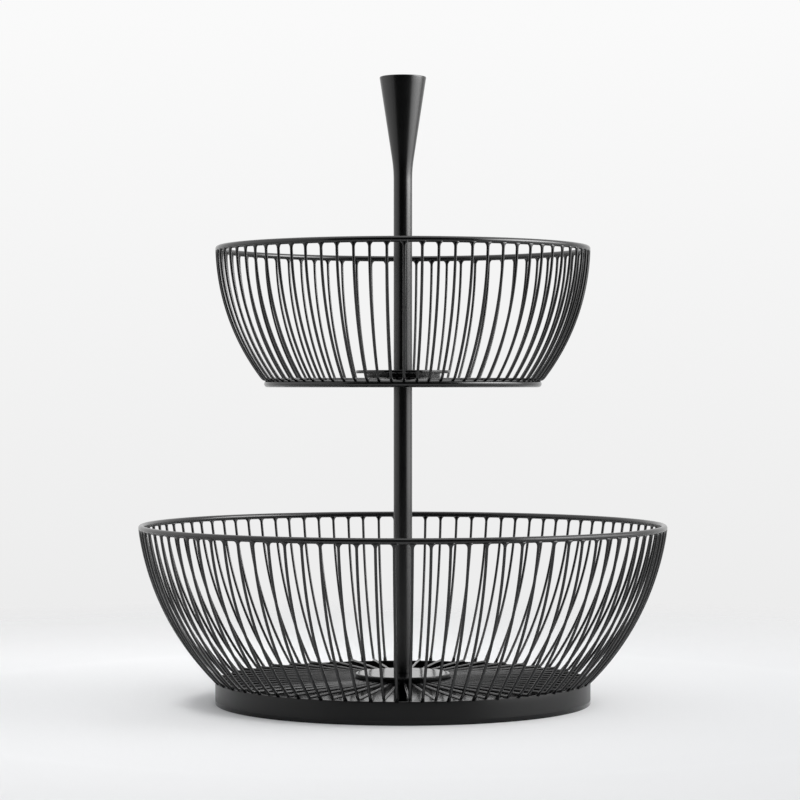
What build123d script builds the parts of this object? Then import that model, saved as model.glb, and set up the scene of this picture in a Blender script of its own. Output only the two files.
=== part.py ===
from build123d import *
from math import cos, radians
import os

# A tiered wire basket: a wide lower basket on a flat base pan, a smaller basket above it,
# and a centre post that ends in a cone-shaped handle.
# Millimetres, +Z up, the origin on the axis at the floor. Angles are in degrees from the front
# (the -Y side) towards +X.

# Wire stock
side_wire_d = 1.7
rim_wire_d = 3.9
ring_wire_d = 4.5
rim_overhang = 1.0
wire_runs = 3
ring_sides = 6

# Base pan under the lower basket: a flat floor with an upright band round it, pressed from one sheet
band_d = 248.7
band_thickness = 2.0
band_height = 14.8

# Lower basket
lower_rim_d = 350.0
lower_rim_z = 116.6
lower_overhang = 0.5
lower_bow = 9.35
lower_wire_count = 96
lower_first_angle = 2.0
lower_floor_wire_inner_r = 24.0

# Upper basket
upper_rim_d = 248.7
upper_rim_z = 300.6
upper_bow = 7.25
upper_wire_count = 72
upper_first_angle = 0.5
upper_ring_d = 184.2
upper_ring_z = 211.35
upper_overhang = 2.75
upper_toe = 3.0
upper_floor_wire_inner_r = 20.0

# Hubs on the floor wires of the baskets: a flat disc on a stem below, a disc with a narrower foot above
hub_d = 62.4
lower_hub_thickness = 3.0
upper_hub_thickness = 2.0
upper_hub_foot_d = 50.0
upper_hub_foot_height = 3.4

# Centre post: a tube below and a solid bar above, whose top flares out into a cone-shaped handle
post_d = 12.3
post_wall = 1.5
upper_post_length = 129.7
neck_height = 7.6
neck_top_d = 13.7
cone_height = 57.6
handle_top_d = 31.1
handle_edge = 0.8

# Tie bolt from under the base pan up through the lower post, screwed into the upper one
bolt_d = 6.0
bolt_hole_clearance = 0.2
thread_clearance = 0.05
thread_depth = 24.0
bolt_tip_gap = 2.0
head_recess = 0.2
socket_sides = 6
socket_across_flats = 4.0
socket_depth = 2.0

# Sizes that follow from the ones above
side_wire_r = side_wire_d / 2
rim_wire_r = rim_wire_d / 2
ring_wire_r = ring_wire_d / 2
flat_share = cos(radians(180 / ring_sides))
band_mid_r = (band_d - band_thickness) / 2
lower_rim_r = lower_rim_d / 2 - rim_wire_r
upper_rim_r = upper_rim_d / 2 - rim_wire_r
upper_ring_r = upper_ring_d / 2 - ring_wire_r
lower_floor_z = band_height + side_wire_r
upper_floor_z = upper_ring_z + ring_wire_r * flat_share + side_wire_r
lower_hub_z = band_height + side_wire_d
upper_hub_z = upper_floor_z + side_wire_r
upper_hub_step_z = upper_hub_z + upper_hub_foot_height
lower_post_z = lower_hub_z + lower_hub_thickness
upper_post_z = upper_hub_step_z + upper_hub_thickness
bolt_tip_z = upper_post_z + thread_depth
neck_z = upper_post_z + upper_post_length
cone_z = neck_z + neck_height
handle_top_z = cone_z + cone_height
bolt_r = bolt_d / 2
bolt_hole_r = bolt_r + bolt_hole_clearance
thread_r = bolt_r + thread_clearance
post_r = post_d / 2


def wire_ring(radius, height, wire_r):
    """A closed wire ring; its flats face up and down, where other wires are welded to it."""
    section = Plane.XZ * Pos(radius, height) * RegularPolygon(wire_r, ring_sides)
    return revolve(section, Axis.Z)


def round_ring(outer_r, bore_r, thickness, bottom_z):
    """A flat round ring of rectangular section: a plate with a hole, a band or a tube."""
    face = Circle(outer_r) - Circle(bore_r)
    return extrude(Pos(0, 0, bottom_z) * face, thickness)


def hub_disc(diameter, thickness, bottom_z):
    """A disc with a clearance hole for the tie bolt."""
    return round_ring(diameter / 2, bolt_hole_r, thickness, bottom_z)


def end_reach(side):
    """From the centre to the edge at a wire's end: a steep end is cut level, a flat one square."""
    if abs(side.X) > abs(side.Y):
        return Vector(side_wire_r / side.X, 0)
    return side * side_wire_r


def bend_reach(side_before, side_after):
    """From the centre to the edge at a bend, where the two edges meet in a mitre."""
    mitre = (side_before + side_after).normalized()
    return mitre * (side_wire_r / mitre.dot(side_before))


def wire_outline(points):
    """The outline of a bent wire: its centre line moved to either side by half its diameter."""
    steps = [b - a for a, b in zip(points, points[1:])]
    sides = [Vector(-step.Y, step.X).normalized() for step in steps]
    bends = [bend_reach(before, after) for before, after in zip(sides, sides[1:])]
    reaches = [end_reach(sides[0]), *bends, end_reach(sides[-1])]
    left = [point + reach for point, reach in zip(points, reaches)]
    right = [point - reach for point, reach in zip(points, reaches)]
    return Polyline(*left, *reversed(right), close=True)


def wire(rim_r, rim_z, foot_r, foot_z, bow, tail):
    """One basket wire. It leaves the outer half of the rim's underside, swells outwards on its way
    down to its foot, and may turn flat there: tail holds the far end of the flat run, if any."""
    top = (rim_r + rim_overhang, rim_z - rim_wire_r * flat_share)
    side = SagittaArc((foot_r, foot_z), top, -bow)
    points = [side @ (1 - run / wire_runs) for run in range(wire_runs + 1)]
    points += [Vector(*end) for end in tail]
    return extrude(Plane.XZ * make_face(wire_outline(points)), side_wire_r, both=True)


def around(piece, count, first_angle):
    """Copies of a piece made on the +X side, evenly spaced about the axis."""
    turns = [first_angle - 90 + 360 * index / count for index in range(count)]
    return Compound(children=[Rot(0, 0, turn) * piece for turn in turns])


def lower_wires():
    """Every second wire runs on along the floor; the ones between stand on the base band."""
    foot_r = band_mid_r + lower_overhang
    side = dict(rim_r=lower_rim_r, rim_z=lower_rim_z, foot_r=foot_r, bow=lower_bow)
    inner_end = (lower_floor_wire_inner_r, lower_floor_z)
    pitch = 360 / lower_wire_count
    long_wire = wire(foot_z=lower_floor_z, tail=[inner_end], **side)
    short_wire = wire(foot_z=band_height, tail=[], **side)
    return (around(long_wire, lower_wire_count // 2, lower_first_angle),
            around(short_wire, lower_wire_count // 2, lower_first_angle + pitch))


def upper_wires():
    """Every second wire runs on along the floor; the ones between end just inside the bottom ring."""
    foot_r = upper_ring_r + upper_overhang
    side = dict(rim_r=upper_rim_r, rim_z=upper_rim_z, foot_r=foot_r, foot_z=upper_floor_z, bow=upper_bow)
    inner_end = (upper_floor_wire_inner_r, upper_floor_z)
    toe_end = (upper_ring_r - upper_toe, upper_floor_z)
    pitch = 360 / upper_wire_count
    return (around(wire(tail=[inner_end], **side), upper_wire_count // 2, upper_first_angle),
            around(wire(tail=[toe_end], **side), upper_wire_count // 2, upper_first_angle + pitch))


def make_base():
    """The base pan; the hole in its floor is countersunk at 45 degrees for the tie bolt."""
    outer_r = band_d / 2
    inner_r = outer_r - band_thickness
    outline = Polyline((bolt_hole_r, band_thickness), (inner_r, band_thickness), (inner_r, band_height),
                       (outer_r, band_height), (outer_r, 0), (bolt_hole_r + band_thickness, 0), close=True)
    return revolve(Plane.XZ * make_face(outline), Axis.Z)


def make_hubs():
    """The hubs of both baskets. The stem of the lower one stands on the floor of the base pan, and the
    foot of the upper one on its floor wires."""
    stem = hub_disc(post_d, lower_hub_z - band_thickness, band_thickness)
    foot = hub_disc(upper_hub_foot_d, upper_hub_foot_height, upper_hub_z)
    lower_hub = hub_disc(hub_d, lower_hub_thickness, lower_hub_z) + stem
    upper_hub = hub_disc(hub_d, upper_hub_thickness, upper_hub_step_z) + foot
    return Compound(children=[lower_hub, upper_hub])


def make_handle_post():
    """The upper post and the handle, turned in one piece, with a tapped hole in the foot."""
    top_r = handle_top_d / 2
    outline = Polyline((0, upper_post_z), (post_r, upper_post_z), (post_r, neck_z),
                       (neck_top_d / 2, cone_z), (top_r, handle_top_z - handle_edge),
                       (top_r - handle_edge, handle_top_z), (0, handle_top_z), close=True)
    body = revolve(Plane.XZ * make_face(outline), Axis.Z)
    hole = extrude(Pos(0, 0, upper_post_z) * Circle(thread_r), thread_depth + bolt_tip_gap)
    return body - hole


def make_tie_bolt():
    """A long countersunk bolt with a hexagon socket; its head lies in the floor of the base pan."""
    head_r = bolt_r + band_thickness - head_recess
    outline = Polyline((0, head_recess), (head_r, head_recess), (bolt_r, band_thickness),
                       (bolt_r, bolt_tip_z), (0, bolt_tip_z), close=True)
    body = revolve(Plane.XZ * make_face(outline), Axis.Z)
    socket = Pos(0, 0, head_recess) * RegularPolygon(socket_across_flats / 2, socket_sides, major_radius=False)
    return body - extrude(socket, socket_depth)


def make_parts():
    """Every sub-part by node name."""
    lower_floor_wires, lower_side_wires = lower_wires()
    upper_floor_wires, upper_side_wires = upper_wires()
    return {
        "base_pan": make_base(),
        "lower_floor_wires": lower_floor_wires,
        "lower_side_wires": lower_side_wires,
        "lower_rim": wire_ring(lower_rim_r, lower_rim_z, rim_wire_r),
        "hub_plates": make_hubs(),
        "lower_post": round_ring(post_r, post_r - post_wall, upper_hub_z - lower_post_z, lower_post_z),
        "upper_ring": wire_ring(upper_ring_r, upper_ring_z, ring_wire_r),
        "upper_floor_wires": upper_floor_wires,
        "upper_side_wires": upper_side_wires,
        "upper_rim": wire_ring(upper_rim_r, upper_rim_z, rim_wire_r),
        "handle_post": make_handle_post(),
        "tie_bolt": make_tie_bolt(),
    }


os.makedirs("parts", exist_ok=True)
for node, solid in make_parts().items():
    export_step(solid, f"parts/{node}.step")
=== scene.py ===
import math
from collections import namedtuple

import bpy
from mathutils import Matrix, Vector


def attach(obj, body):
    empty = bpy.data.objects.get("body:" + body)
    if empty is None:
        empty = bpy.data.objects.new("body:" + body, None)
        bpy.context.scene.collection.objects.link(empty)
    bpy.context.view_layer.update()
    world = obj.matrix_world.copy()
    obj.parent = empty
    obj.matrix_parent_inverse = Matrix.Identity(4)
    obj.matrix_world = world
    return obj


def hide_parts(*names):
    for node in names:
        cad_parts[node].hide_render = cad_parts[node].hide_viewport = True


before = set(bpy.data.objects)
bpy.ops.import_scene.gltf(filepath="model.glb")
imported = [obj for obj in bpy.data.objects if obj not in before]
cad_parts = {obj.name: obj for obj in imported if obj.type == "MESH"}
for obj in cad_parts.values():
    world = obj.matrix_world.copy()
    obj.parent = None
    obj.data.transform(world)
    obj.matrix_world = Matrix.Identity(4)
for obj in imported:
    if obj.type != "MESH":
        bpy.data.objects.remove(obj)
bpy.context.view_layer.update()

# A tiered wire basket in black powder coat. Each node of the part gets a finished mesh and material.
# Sizes of the part are in millimetres, with +Z up and the origin on the axis at the floor.
# Angles of wires are in degrees from the front (the -Y side) towards +X.
MM = 0.001

# Wire stock. The centre line of a side or floor wire lies WIRE_SEAT above what it is welded to, and the
# rings of the part are six-sided, so that their flat top is at FLAT_SHARE of their wire's radius.
WIRE_R = 0.93
WIRE_SEAT = 0.85
RIM_WIRE_R = 1.95
RING_WIRE_R = 2.25
FLAT_SHARE = math.cos(math.radians(30))

# Base pan
PAN_R = 124.35
SHEET = 2.0
BAND_TOP_Z = 14.8
BAND_MID_R = PAN_R - SHEET / 2

# Ring under the upper basket
RING_R = 89.85
RING_Z = 211.35
UPPER_FLOOR_Z = round(RING_Z + RING_WIRE_R * FLAT_SHARE + WIRE_SEAT, 3)

# Hubs
HUB_R = 31.2
LOWER_HUB_THICKNESS = 3.0
UPPER_HUB_THICKNESS = 2.0
UPPER_HUB_FOOT_R = 25.0
UPPER_HUB_FOOT_HEIGHT = 3.4
LOWER_HUB_Z = BAND_TOP_Z + 2 * WIRE_SEAT
LOWER_HUB_TOP_Z = LOWER_HUB_Z + LOWER_HUB_THICKNESS
UPPER_HUB_Z = UPPER_FLOOR_Z + WIRE_SEAT
UPPER_HUB_STEP_Z = UPPER_HUB_Z + UPPER_HUB_FOOT_HEIGHT
UPPER_HUB_TOP_Z = UPPER_HUB_STEP_Z + UPPER_HUB_THICKNESS

# Posts and handle
POST_R = 6.15
POST_BORE_R = 4.65
CONE_START_Z = 353.9
HANDLE_POST_LENGTH = 194.9
HANDLE_TOP_R = 15.55
HANDLE_TOP_Z = UPPER_HUB_TOP_Z + HANDLE_POST_LENGTH
THREAD_HOLE_R = 3.05
THREAD_HOLE_DEPTH = 26.0

# Tie bolt
BOLT_R = 3.0
BOLT_HOLE_R = 3.2
BOLT_THREAD_DEPTH = 24.0
BOLT_TIP_Z = UPPER_HUB_TOP_Z + BOLT_THREAD_DEPTH
BOLT_HEAD_Z = 0.2
BOLT_HEAD_R = BOLT_R + SHEET - BOLT_HEAD_Z
SOCKET_FLAT_R = 2.0
SOCKET_DEPTH = 2.0

# Baskets. A weld bead has its half sizes outwards, sideways and upwards. The feet of the wires stand out
# past the middle of the band and of the ring. The lower rim's radius is 0.05 mm smaller than the part's, so
# that the round wire stays inside the part's box.
Weld = namedtuple("Weld", "radius z half_sizes")
Basket = namedtuple("Basket", "rim_r rim_z foot_r floor_z bow count first_angle weld")
LOWER_OVERHANG = 0.5
UPPER_OVERHANG = 2.75
BAND_WELD = Weld(BAND_MID_R - 0.1, BAND_TOP_Z + 0.1, (1.4, 1.2, 0.45))
RING_WELD = Weld(RING_R - 0.2, RING_Z + RING_WIRE_R - 0.1, (1.5, 1.5, 0.6))
LOWER = Basket(rim_r=173.0, rim_z=116.6, foot_r=BAND_MID_R + LOWER_OVERHANG,
               floor_z=BAND_TOP_Z + WIRE_SEAT, bow=9.35, count=96, first_angle=2.0, weld=BAND_WELD)
UPPER = Basket(rim_r=122.4, rim_z=300.6, foot_r=RING_R + UPPER_OVERHANG,
               floor_z=UPPER_FLOOR_Z, bow=7.25, count=72, first_angle=0.5, weld=RING_WELD)

# Where the flat tails of the wires end: the long ones under the hub, the short ones just inside the ring
LOWER_TAIL_R = 24.0
UPPER_TAIL_R = 20.0
UPPER_TOE = 3.0
UPPER_TOE_R = RING_R - UPPER_TOE

# Where a side wire ends in the rim: this far outside the rim's middle, and this far below it
RIM_OVERHANG = 1.0
RIM_ENTRY = 1.0

# Bend between a wire's side and its flat tail: how much of either run it takes up
BEND_LENGTH = 1.7

# Weld fillets along a wire: how far they reach, and how far they stand out at most
RIM_FILLET = (2.9, 1.75)
FOOT_FILLET = (1.3, 0.4)

# How far a wire may be turned out of its even spacing, in degrees
STRAY = 0.16

# Butt weld of a ring, ground down: its height, and its width in degrees
SEAM_HEIGHT = 0.07
SEAM_WIDTH = 0.7

# How finely round forms are divided
ARC_STEPS = 26
NEAR_RIM_SHARES = (0.0, 0.2, 0.32, 0.44, 0.56, 0.7, 0.85)
BEND_STEPS = 5
TAIL_STEP = 12
WIRE_SIDES = 12
BEAD_STEPS = 6
BEAD_SIDES = 10
RING_SIDES = 20
RING_SEGMENTS = 288
HUB_SEGMENTS = 128
POST_SEGMENTS = 96
BOLT_SEGMENTS = 72


# Mesh helpers
def circle(count):
    """Even turns about a circle, in radians."""
    return [2 * math.pi * k / count for k in range(count)]


def curve(start, corner, end, steps):
    """Points of the curve that rounds a corner from start to end."""
    shares = [k / steps for k in range(steps + 1)]
    return [start * (1 - t) ** 2 + corner * 2 * t * (1 - t) + end * t * t for t in shares]


class Shape:
    """Vertices in millimetres and faces, gathered for one piece."""

    def __init__(self):
        self.verts, self.faces = [], []

    def rings(self, rings, closed=False, caps=False):
        """Joins rings of points, each of the same length and each a closed loop."""
        start, size = len(self.verts), len(rings[0])
        for ring in rings:
            self.verts.extend(ring)
        spans = len(rings) if closed else len(rings) - 1
        for i in range(spans):
            a = start + i * size
            b = start + ((i + 1) % len(rings)) * size
            for j in range(size):
                k = (j + 1) % size
                self.faces.append((a + j, a + k, b + k, b + j))
        if caps:
            self.faces.append(tuple(range(start + size - 1, start - 1, -1)))
            last = start + (len(rings) - 1) * size
            self.faces.append(tuple(range(last, last + size)))

    def piece(self, node, material):
        """Makes the object that stands for a node of the part."""
        name = node + "_finished"
        mesh = bpy.data.meshes.new(name)
        mesh.from_pydata([tuple(c * MM for c in v) for v in self.verts], [], self.faces)
        mesh.shade_smooth()
        mesh.materials.append(material)
        obj = bpy.data.objects.new(name, mesh)
        bpy.context.scene.collection.objects.link(obj)
        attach(obj, "root")
        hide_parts(node)


def rounded(corners, steps):
    """A closed outline of (r, z) points from corners of (r, z, length of the rounding)."""
    outline = []
    for i, (r, z, cut) in enumerate(corners):
        corner = Vector((r, z))
        if not cut:
            outline.append(corner)
            continue
        before = Vector(corners[i - 1][:2])
        after = Vector(corners[(i + 1) % len(corners)][:2])
        start = corner + (before - corner).normalized() * cut
        end = corner + (after - corner).normalized() * cut
        outline += curve(start, corner, end, steps)
    return outline


def split_long(outline, longest):
    """Adds points on the long runs of an outline, so that its shading stays even."""
    result = []
    for i, point in enumerate(outline):
        after = outline[(i + 1) % len(outline)]
        parts = max(1, math.ceil((after - point).length / longest))
        result += [point.lerp(after, k / parts) for k in range(parts)]
    return result


def lathe(shape, corners, longest, segments, steps=6):
    """Turns an outline with rounded corners about the axis, with no run of it over longest."""
    outline = split_long(rounded(corners, steps), longest)
    rings = [[(r * math.cos(turn), r * math.sin(turn), z) for r, z in outline] for turn in circle(segments)]
    shape.rings(rings, closed=True)


# Wires
def stray(index, seed):
    """A small repeatable number between -1 and 1, different for each wire: the far decimals of a sine."""
    wire_step, seed_step, magnified = 12.9898, 78.233, 43758.5453
    value = math.sin(index * wire_step + seed * seed_step) * magnified
    return 2 * (value - math.floor(value)) - 1


def directions(angle):
    """Outwards and sideways at an angle about the axis."""
    turn = math.radians(angle - 90)
    return Vector((math.cos(turn), math.sin(turn), 0)), Vector((-math.sin(turn), math.cos(turn), 0))


def side_arc(foot, top, bow):
    """Points from top to foot on an arc that bulges away from the axis by bow."""
    chord = top - foot
    half = chord.length / 2
    radius = (half * half + bow * bow) / (2 * bow)
    outwards = Vector((chord.y, -chord.x)).normalized()
    centre = (foot + top) / 2 + outwards * (bow - radius)
    first = math.atan2(top.y - centre.y, top.x - centre.x)
    last = math.atan2(foot.y - centre.y, foot.x - centre.x)
    turns = [first + (last - first) * i / ARC_STEPS for i in range(ARC_STEPS + 1)]
    return [centre + Vector((math.cos(a), math.sin(a))) * radius for a in turns]


def wire_line(basket, foot_z, tail_r):
    """Centre line of one wire from inside the rim to its end, as (r, z) points."""
    foot = Vector((basket.foot_r, foot_z))
    top = Vector((basket.rim_r + RIM_OVERHANG, basket.rim_z - RIM_ENTRY))
    arc = side_arc(foot, top, basket.bow)
    line = [arc[0].lerp(arc[1], share) for share in NEAR_RIM_SHARES] + arc[1:]
    if tail_r is None:
        return line
    line = [point for point in line if (point - foot).length > BEND_LENGTH]
    start = foot + (line[-1] - foot).normalized() * BEND_LENGTH
    end = foot + Vector((-BEND_LENGTH, 0))
    parts = max(1, round((end.x - tail_r) / TAIL_STEP))
    tail = [Vector((end.x + (tail_r - end.x) * k / parts, end.y)) for k in range(1, parts + 1)]
    return line + curve(start, foot, end, BEND_STEPS) + tail


def fillet(distance, sizes):
    """How far a weld's fillet stands out beside a wire, at a distance from the part it is welded to."""
    reach, most = sizes
    if distance >= reach:
        return 0.0
    rest = 1 - max(distance, 0.0) / reach
    return most * (1 - math.sqrt(max(0.0, 1 - rest * rest)))


def add_wire(shape, line, angle, rim_bottom_z, stand_z):
    """Sweeps a round section along a wire's centre line, wider in the weld fillets. stand_z is the height
    of the band that the wire stands on, or None where it runs on."""
    radial, across = directions(angle)
    up = Vector((0, 0, 1))
    rings = []
    for i, point in enumerate(line):
        ahead, behind = line[min(i + 1, len(line) - 1)], line[max(i - 1, 0)]
        step = (ahead - behind).normalized()
        normal = radial * -step.y + up * step.x
        wide = WIRE_R + fillet(rim_bottom_z - point.y, RIM_FILLET)
        if stand_z is not None:
            wide += fillet(point.y - stand_z, FOOT_FILLET)
        centre = radial * point.x + up * point.y
        rings.append([tuple(centre + across * (wide * math.cos(a)) + normal * (WIRE_R * math.sin(a)))
                      for a in circle(WIRE_SIDES)])
    shape.rings(rings, caps=True)


def add_weld(shape, weld, angle):
    """A small rounded weld bead on a ring or a band."""
    radial, across = directions(angle)
    up = Vector((0, 0, 1))
    centre = radial * weld.radius + up * weld.z
    deep, wide, high = weld.half_sizes
    rings = []
    for i in range(1, BEAD_STEPS):
        tilt = math.pi * i / BEAD_STEPS
        middle = centre + radial * (deep * math.cos(tilt))
        rings.append([tuple(middle + across * (wide * math.sin(tilt) * math.cos(a))
                            + up * (high * math.sin(tilt) * math.sin(a))) for a in circle(BEAD_SIDES)])
    shape.rings(rings, caps=True)


def make_wires(node, basket, first, foot_z, tail_r, seed):
    """Every second wire of a basket from the first on, with a weld bead at each foot. tail_r is where the
    flat tail ends, or None for wires without one."""
    shape = Shape()
    pitch = 360 / basket.count
    line = wire_line(basket, foot_z, tail_r)
    stand_z = foot_z if tail_r is None else None
    for index in range(first, basket.count, 2):
        angle = basket.first_angle + pitch * index + STRAY * stray(index, seed)
        add_wire(shape, line, angle, basket.rim_z - RIM_WIRE_R, stand_z)
        add_weld(shape, basket.weld, angle)
    shape.piece(node, wire_coat)


# Material helpers
def new_material(name):
    """A new material, its node tree, its shader and its texture coordinates."""
    material = bpy.data.materials.new(name)
    material.use_nodes = True
    tree = material.node_tree
    return material, tree, tree.nodes["Principled BSDF"], tree.nodes.new("ShaderNodeTexCoord")


def noise(tree, coords, scale, detail=2.0, roughness=0.5, stretch=None):
    """A noise texture in object space."""
    node = tree.nodes.new("ShaderNodeTexNoise")
    node.inputs["Scale"].default_value = scale
    node.inputs["Detail"].default_value = detail
    node.inputs["Roughness"].default_value = roughness
    source = coords.outputs["Object"]
    if stretch:
        mapping = tree.nodes.new("ShaderNodeMapping")
        mapping.inputs["Scale"].default_value = stretch
        tree.links.new(source, mapping.inputs["Vector"])
        source = mapping.outputs["Vector"]
    tree.links.new(source, node.inputs["Vector"])
    return node.outputs["Fac"]


def spread(tree, value, low, high, to_low=0.0, to_high=1.0):
    """Maps a value from one range to another."""
    node = tree.nodes.new("ShaderNodeMapRange")
    for name, number in (("From Min", low), ("From Max", high), ("To Min", to_low), ("To Max", to_high)):
        node.inputs[name].default_value = number
    tree.links.new(value, node.inputs["Value"])
    return node.outputs["Result"]


def mix(tree, factor, first, second):
    """Mixes two colours; the first may be a socket."""
    node = tree.nodes.new("ShaderNodeMix")
    node.data_type = "RGBA"
    tree.links.new(factor, node.inputs[0])
    if isinstance(first, bpy.types.NodeSocket):
        tree.links.new(first, node.inputs[6])
    else:
        node.inputs[6].default_value = (*first, 1.0)
    node.inputs[7].default_value = (*second, 1.0)
    return node.outputs[2]


def calculate(tree, operation, first, second):
    """Adds or multiplies two values, with the result kept between 0 and 1."""
    node = tree.nodes.new("ShaderNodeMath")
    node.operation = operation
    node.use_clamp = True
    tree.links.new(first, node.inputs[0])
    tree.links.new(second, node.inputs[1])
    return node.outputs[0]


def add_bump(tree, shader, height, strength, distance):
    """Fine relief from a height value; distance is in millimetres."""
    bump = tree.nodes.new("ShaderNodeBump")
    bump.inputs["Strength"].default_value = strength
    bump.inputs["Distance"].default_value = distance * MM
    tree.links.new(height, bump.inputs["Height"])
    tree.links.new(bump.outputs["Normal"], shader.inputs["Normal"])


# Materials
COAT_TONE = (0.0014, 0.0015, 0.0016)
COAT_WORN = (0.05, 0.052, 0.055)
ZINC_BLUE = (0.50, 0.53, 0.57)
ZINC_STRAW = (0.60, 0.58, 0.53)
ZINC_DULL = (0.30, 0.30, 0.29)

# The pan's coat gets rougher above its floor: from PAN_MATT_Z up, over a height of PAN_MATT_RISE
PAN_MATT_Z = 2.2
PAN_MATT_RISE = 1.0


def shade(share):
    """The coat's tone, darker or paler."""
    return tuple(share * c for c in COAT_TONE)


def powder_coat(name, gloss_low, gloss_high, peel, wear, shine=0.5, matt_band=None):
    """Satin black powder coat: fine orange peel, faint clouds in tone and gloss, paler worn edges.
    matt_band is how much rougher the coat is above the floor of the pan."""
    material, tree, shader, coords = new_material(name)
    clouds = spread(tree, noise(tree, coords, scale=38.0, detail=3.0, roughness=0.6), 0.3, 0.7)
    colour = mix(tree, clouds, shade(0.8), shade(1.25))
    specks = spread(tree, noise(tree, coords, scale=1900.0, detail=1.0), 0.62, 0.72, to_high=0.35)
    colour = mix(tree, specks, colour, shade(2.2))
    scuffs = noise(tree, coords, scale=210.0, detail=4.0, roughness=0.7)
    scuffs = spread(tree, scuffs, 0.45, 0.7, to_high=wear)
    edges = spread(tree, tree.nodes.new("ShaderNodeNewGeometry").outputs["Pointiness"], 0.52, 0.62)
    colour = mix(tree, calculate(tree, "MULTIPLY", edges, scuffs), colour, COAT_WORN)
    tree.links.new(colour, shader.inputs["Base Color"])
    gloss = noise(tree, coords, scale=85.0, detail=3.0, roughness=0.6)
    gloss = spread(tree, gloss, 0.3, 0.7, gloss_low, gloss_high)
    if matt_band:
        place = tree.nodes.new("ShaderNodeSeparateXYZ")
        tree.links.new(coords.outputs["Object"], place.inputs[0])
        rougher = spread(tree, place.outputs["Z"], PAN_MATT_Z * MM, (PAN_MATT_Z + PAN_MATT_RISE) * MM,
                         to_high=matt_band)
        gloss = calculate(tree, "ADD", gloss, rougher)
    tree.links.new(gloss, shader.inputs["Roughness"])
    grain = noise(tree, coords, scale=720.0, roughness=0.45)
    add_bump(tree, shader, grain, strength=peel, distance=0.06)
    shader.inputs["Specular IOR Level"].default_value = shine
    return material


def zinc_plate(name):
    """Bright zinc plating with a faint blue and straw cast, fine turning marks and dull patches."""
    material, tree, shader, coords = new_material(name)
    cast = spread(tree, noise(tree, coords, scale=60.0), 0.35, 0.65)
    colour = mix(tree, cast, ZINC_BLUE, ZINC_STRAW)
    stain = noise(tree, coords, scale=330.0, detail=4.0, roughness=0.7)
    stain = spread(tree, stain, 0.55, 0.75, to_high=0.5)
    tree.links.new(mix(tree, stain, colour, ZINC_DULL), shader.inputs["Base Color"])
    marks = noise(tree, coords, scale=160.0, detail=3.0, roughness=0.6, stretch=(1.0, 1.0, 14.0))
    tree.links.new(spread(tree, marks, 0.3, 0.7, 0.28, 0.48), shader.inputs["Roughness"])
    add_bump(tree, shader, marks, strength=0.25, distance=0.05)
    shader.inputs["Metallic"].default_value = 1.0
    return material


wire_coat = powder_coat("wire_coat", 0.16, 0.23, peel=0.06, wear=0.5)
pan_coat = powder_coat("pan_coat", 0.11, 0.14, peel=0.02, wear=0.7, shine=0.3, matt_band=0.22)
hub_coat = powder_coat("hub_coat", 0.12, 0.16, peel=0.03, wear=0.7)
turned_coat = powder_coat("turned_coat", 0.24, 0.27, peel=0.08, wear=0.7)
zinc = zinc_plate("zinc_plate")


# Pieces
def make_ring(node, radius, z, wire_r, seam_at):
    """A round wire ring with its ground butt weld, which is seam_at degrees from +X towards +Y."""
    shape = Shape()
    rings = []
    for turn in circle(RING_SEGMENTS):
        gap = (math.degrees(turn) - seam_at + 180) % 360 - 180
        fat = wire_r + SEAM_HEIGHT * math.exp(-(gap / SEAM_WIDTH) ** 2)
        section = [(radius + fat * math.cos(a), z + fat * math.sin(a)) for a in circle(RING_SIDES)]
        rings.append([(r * math.cos(turn), r * math.sin(turn), height) for r, height in section])
    shape.rings(rings, closed=True)
    shape.piece(node, wire_coat)


def make_base():
    """The base pan, whose hole is countersunk from below for the tie bolt."""
    inner = PAN_R - SHEET
    shape = Shape()
    lathe(shape, [(BOLT_HOLE_R + SHEET, 0, 0.2), (PAN_R, 0, 0.5), (PAN_R, BAND_TOP_Z, 0.7),
                  (inner, BAND_TOP_Z, 0.6), (inner, SHEET, 1.5), (BOLT_HOLE_R, SHEET, 0.2)],
          longest=4.0, segments=RING_SEGMENTS)
    shape.piece("base_pan", pan_coat)


def make_hubs():
    """The lower hub on its stem, and the upper hub on its narrower foot."""
    shape = Shape()
    lathe(shape, [(BOLT_HOLE_R, SHEET, 0), (POST_R, SHEET, 0.3), (POST_R, LOWER_HUB_Z, 0.3),
                  (HUB_R, LOWER_HUB_Z, 0.5), (HUB_R, LOWER_HUB_TOP_Z, 0.6),
                  (BOLT_HOLE_R, LOWER_HUB_TOP_Z, 0)],
          longest=3.0, segments=HUB_SEGMENTS)
    lathe(shape, [(BOLT_HOLE_R, UPPER_HUB_Z, 0), (UPPER_HUB_FOOT_R, UPPER_HUB_Z, 0.4),
                  (UPPER_HUB_FOOT_R, UPPER_HUB_STEP_Z, 0.3), (HUB_R, UPPER_HUB_STEP_Z, 0.5),
                  (HUB_R, UPPER_HUB_TOP_Z, 0.6), (BOLT_HOLE_R, UPPER_HUB_TOP_Z, 0)],
          longest=3.0, segments=HUB_SEGMENTS)
    shape.piece("hub_plates", hub_coat)


def make_lower_post():
    """The tube between the hubs."""
    shape = Shape()
    lathe(shape, [(POST_BORE_R, LOWER_HUB_TOP_Z, 0.2), (POST_R, LOWER_HUB_TOP_Z, 0.35),
                  (POST_R, UPPER_HUB_Z, 0.35), (POST_BORE_R, UPPER_HUB_Z, 0.2)],
          longest=6.0, segments=POST_SEGMENTS)
    shape.piece("lower_post", turned_coat)


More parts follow.
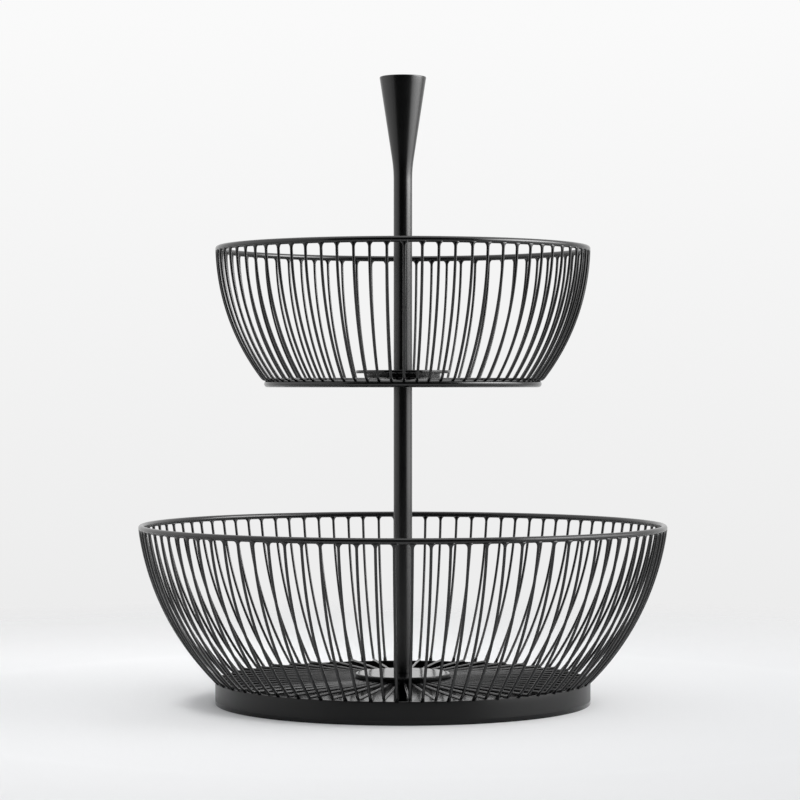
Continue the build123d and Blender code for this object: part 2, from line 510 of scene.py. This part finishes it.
def make_handle_post():
    """The upper post, which runs into the cone of the handle in a short curve. Its outline stops a hair
    from the axis, and a second point close to it keeps the shading of the flat top even."""
    axis_gap, flat_r = 0.02, 0.08
    hole_top_z = UPPER_HUB_TOP_Z + THREAD_HOLE_DEPTH
    shape = Shape()
    lathe(shape, [(axis_gap, hole_top_z, 0), (THREAD_HOLE_R, hole_top_z, 0.2),
                  (THREAD_HOLE_R, UPPER_HUB_TOP_Z, 0.2), (POST_R, UPPER_HUB_TOP_Z, 0.35),
                  (POST_R, CONE_START_Z, 7.5), (HANDLE_TOP_R, HANDLE_TOP_Z, 0.9),
                  (flat_r, HANDLE_TOP_Z, 0), (axis_gap, HANDLE_TOP_Z, 0)],
          longest=4.0, segments=HUB_SEGMENTS, steps=10)
    shape.piece("handle_post", turned_coat)


def round_loop(z, radius):
    """A round ring of points on the bolt."""
    return [(radius * math.cos(turn), radius * math.sin(turn), z) for turn in circle(BOLT_SEGMENTS)]


def socket_loop(z, flat_r):
    """A six-sided ring of points in the bolt's socket."""
    side = math.pi / 3
    loop = []
    for turn in circle(BOLT_SEGMENTS):
        radius = flat_r / math.cos((turn + side / 2) % side - side / 2)
        loop.append((radius * math.cos(turn), radius * math.sin(turn), z))
    return loop


def make_tie_bolt():
    """The countersunk bolt, from the floor of its hexagon socket out over the head and up to the tip."""
    edge = 0.15
    shape = Shape()
    shape.rings([socket_loop(BOLT_HEAD_Z + SOCKET_DEPTH, SOCKET_FLAT_R),
                 socket_loop(BOLT_HEAD_Z + edge, SOCKET_FLAT_R),
                 socket_loop(BOLT_HEAD_Z, SOCKET_FLAT_R + edge),
                 round_loop(BOLT_HEAD_Z, BOLT_HEAD_R - 0.25),
                 round_loop(BOLT_HEAD_Z + edge, BOLT_HEAD_R - edge),
                 round_loop(SHEET, BOLT_R),
                 round_loop(SHEET + 0.5, BOLT_R),
                 round_loop(BOLT_TIP_Z - 0.7, BOLT_R),
                 round_loop(BOLT_TIP_Z, BOLT_R - 0.6)], caps=True)
    shape.piece("tie_bolt", zinc)


make_ring("lower_rim", LOWER.rim_r, LOWER.rim_z, RIM_WIRE_R, seam_at=63.0)
make_ring("upper_rim", UPPER.rim_r, UPPER.rim_z, RIM_WIRE_R, seam_at=118.0)
make_ring("upper_ring", RING_R, RING_Z, RING_WIRE_R, seam_at=71.0)
make_wires("lower_floor_wires", LOWER, 0, LOWER.floor_z, LOWER_TAIL_R, seed=1)
make_wires("lower_side_wires", LOWER, 1, BAND_TOP_Z, None, seed=2)
make_wires("upper_floor_wires", UPPER, 0, UPPER.floor_z, UPPER_TAIL_R, seed=3)
make_wires("upper_side_wires", UPPER, 1, UPPER.floor_z, UPPER_TOE_R, seed=4)
make_base()
make_hubs()
make_lower_post()
make_handle_post()
make_tie_bolt()

# Stage, light and camera, in metres. The floor is plain paper, which from FADE_START to FADE_END from the
# axis gives way to the pale surroundings.
FLOOR_HALF = 2.6
FLOOR_COLOUR = (0.90, 0.90, 0.90, 1)
FADE_START = 0.34
FADE_END = 0.85
FLAG_PLACE = (0.0, -0.95, 0.6)
FLAG_HALF_WIDTH = 1.0
FLAG_HALF_HEIGHT = 0.6
FLAG_COLOUR = (0.004, 0.004, 0.004, 1)

# Surroundings: the light they give, and the pale grey that is seen. The grey is SEEN_BELOW up to where the
# height of a direction is GREY_STARTS, and SEEN_ABOVE from GREY_ENDS on.
LIT_COLOUR = (0.95, 0.97, 1.0, 1)
LIT_STRENGTH = 0.40
SEEN_BELOW = (0.835, 0.835, 0.835)
SEEN_ABOVE = (0.955, 0.955, 0.955)
GREY_STARTS = -0.10
GREY_ENDS = 0.14

# Camera: level, in front of the basket and half way up it
CAMERA_PLACE = (0.0, -1.738, 0.20675)
CAMERA_LENS = 117.7
CAMERA_SHIFT = (-0.0036, -0.0115)


def make_card(name, corners):
    """A flat card that belongs to the stage."""
    mesh = bpy.data.meshes.new(name)
    mesh.from_pydata(corners, [], [(0, 1, 2, 3)])
    obj = bpy.data.objects.new(name, mesh)
    bpy.context.scene.collection.objects.link(obj)
    return obj


def make_floor():
    """A plain pale floor that fades out into the surroundings all round."""
    half = FLOOR_HALF
    corners = [(-half, -half, 0), (half, -half, 0), (half, half, 0), (-half, half, 0)]
    floor = make_card("studio_floor", corners)
    material, tree, shader, coords = new_material("studio_paper")
    tree.nodes.remove(shader)
    paper = tree.nodes.new("ShaderNodeBsdfDiffuse")
    paper.inputs["Color"].default_value = FLOOR_COLOUR
    distance = tree.nodes.new("ShaderNodeVectorMath")
    distance.operation = "LENGTH"
    tree.links.new(coords.outputs["Object"], distance.inputs[0])
    faded = tree.nodes.new("ShaderNodeMixShader")
    tree.links.new(spread(tree, distance.outputs["Value"], FADE_START, FADE_END), faded.inputs[0])
    tree.links.new(paper.outputs[0], faded.inputs[1])
    tree.links.new(tree.nodes.new("ShaderNodeBsdfTransparent").outputs[0], faded.inputs[2])
    tree.links.new(faded.outputs[0], tree.nodes["Material Output"].inputs["Surface"])
    floor.data.materials.append(material)


def make_flag():
    """A black card between the camera and the basket, which only reflections see."""
    wide, high = FLAG_HALF_WIDTH, FLAG_HALF_HEIGHT
    corners = [(-wide, 0, -high), (wide, 0, -high), (wide, 0, high), (-wide, 0, high)]
    flag = make_card("front_flag", corners)
    flag.location = FLAG_PLACE
    flag.visible_camera = False
    flag.visible_diffuse = False
    flag.visible_transmission = False
    flag.visible_shadow = False
    material = bpy.data.materials.new("front_flag")
    material.use_nodes = True
    shader = material.node_tree.nodes["Principled BSDF"]
    shader.inputs["Base Color"].default_value = FLAG_COLOUR
    shader.inputs["Specular IOR Level"].default_value = 0.0
    shader.inputs["Roughness"].default_value = 1.0
    flag.data.materials.append(material)


def softbox(name, place, aim, size, watts, spread_degrees=180, glossy=True):
    """A large rectangular lamp that faces a point. Without glossy no reflection shows it."""
    lamp = bpy.data.lights.new(name, "AREA")
    lamp.shape = "RECTANGLE"
    lamp.size, lamp.size_y = size
    lamp.energy = watts
    lamp.spread = math.radians(spread_degrees)
    obj = bpy.data.objects.new(name, lamp)
    bpy.context.scene.collection.objects.link(obj)
    obj.visible_camera = False
    obj.visible_glossy = glossy
    obj.location = place
    obj.rotation_euler = (Vector(aim) - Vector(place)).to_track_quat("-Z", "Y").to_euler()


def make_world():
    """Surroundings that light the object evenly, and that the camera and reflections see as pale grey."""
    world = bpy.data.worlds.new("studio_world")
    bpy.context.scene.world = world
    world.use_nodes = True
    tree = world.node_tree
    lit = tree.nodes["Background"]
    lit.inputs["Color"].default_value = LIT_COLOUR
    lit.inputs["Strength"].default_value = LIT_STRENGTH
    seen = tree.nodes.new("ShaderNodeBackground")
    seen.inputs["Strength"].default_value = 1.0
    direction = tree.nodes.new("ShaderNodeSeparateXYZ")
    tree.links.new(tree.nodes.new("ShaderNodeTexCoord").outputs["Generated"], direction.inputs[0])
    rise = spread(tree, direction.outputs["Z"], GREY_STARTS, GREY_ENDS)
    tree.links.new(mix(tree, rise, SEEN_BELOW, SEEN_ABOVE), seen.inputs["Color"])
    path = tree.nodes.new("ShaderNodeLightPath")
    shown = calculate(tree, "ADD", path.outputs["Is Camera Ray"], path.outputs["Is Glossy Ray"])
    shown = calculate(tree, "ADD", shown, path.outputs["Is Transmission Ray"])
    mixer = tree.nodes.new("ShaderNodeMixShader")
    tree.links.new(shown, mixer.inputs[0])
    tree.links.new(lit.outputs[0], mixer.inputs[1])
    tree.links.new(seen.outputs[0], mixer.inputs[2])
    tree.links.new(mixer.outputs[0], tree.nodes["World Output"].inputs["Surface"])


def make_camera():
    """The camera at the photograph's place."""
    camera = bpy.data.cameras.new("camera")
    camera.lens = CAMERA_LENS
    camera.sensor_width = 36.0
    camera.shift_x, camera.shift_y = CAMERA_SHIFT
    camera.clip_start = 0.05
    camera.clip_end = 50.0
    view = bpy.data.objects.new("camera", camera)
    bpy.context.scene.collection.objects.link(view)
    view.location = CAMERA_PLACE
    view.rotation_euler = (math.radians(90), 0, 0)
    bpy.context.scene.camera = view


make_floor()
make_flag()
softbox("key_right", place=(0.62, -0.10, 0.62), aim=(0, 0, 0.45), size=(0.85, 0.45),
        watts=2.5, spread_degrees=70)
softbox("fill_right", place=(1.25, -0.20, 0.36), aim=(0, 0, 0.25), size=(1.6, 0.8),
        watts=3.6, spread_degrees=100)
softbox("fill_left", place=(-1.4, 0.0, 0.70), aim=(0, 0, 0.60), size=(1.4, 1.2),
        watts=0.6, spread_degrees=100)
softbox("top", place=(0.0, 0.3, 3.0), aim=(0.0, 0.3, 0.0), size=(4.0, 4.0), watts=32.0)
softbox("back_right", place=(1.5, 0.9, 1.1), aim=(0.4, 0.3, 0.05), size=(1.0, 1.0),
        watts=3.3, spread_degrees=100, glossy=False)
softbox("front_floor", place=(0.0, -1.3, 2.2), aim=(0, -0.7, 0), size=(1.6, 0.8),
        watts=1.1, spread_degrees=90, glossy=False)
make_world()
make_camera()
bpy.context.scene.view_settings.view_transform = "Standard"
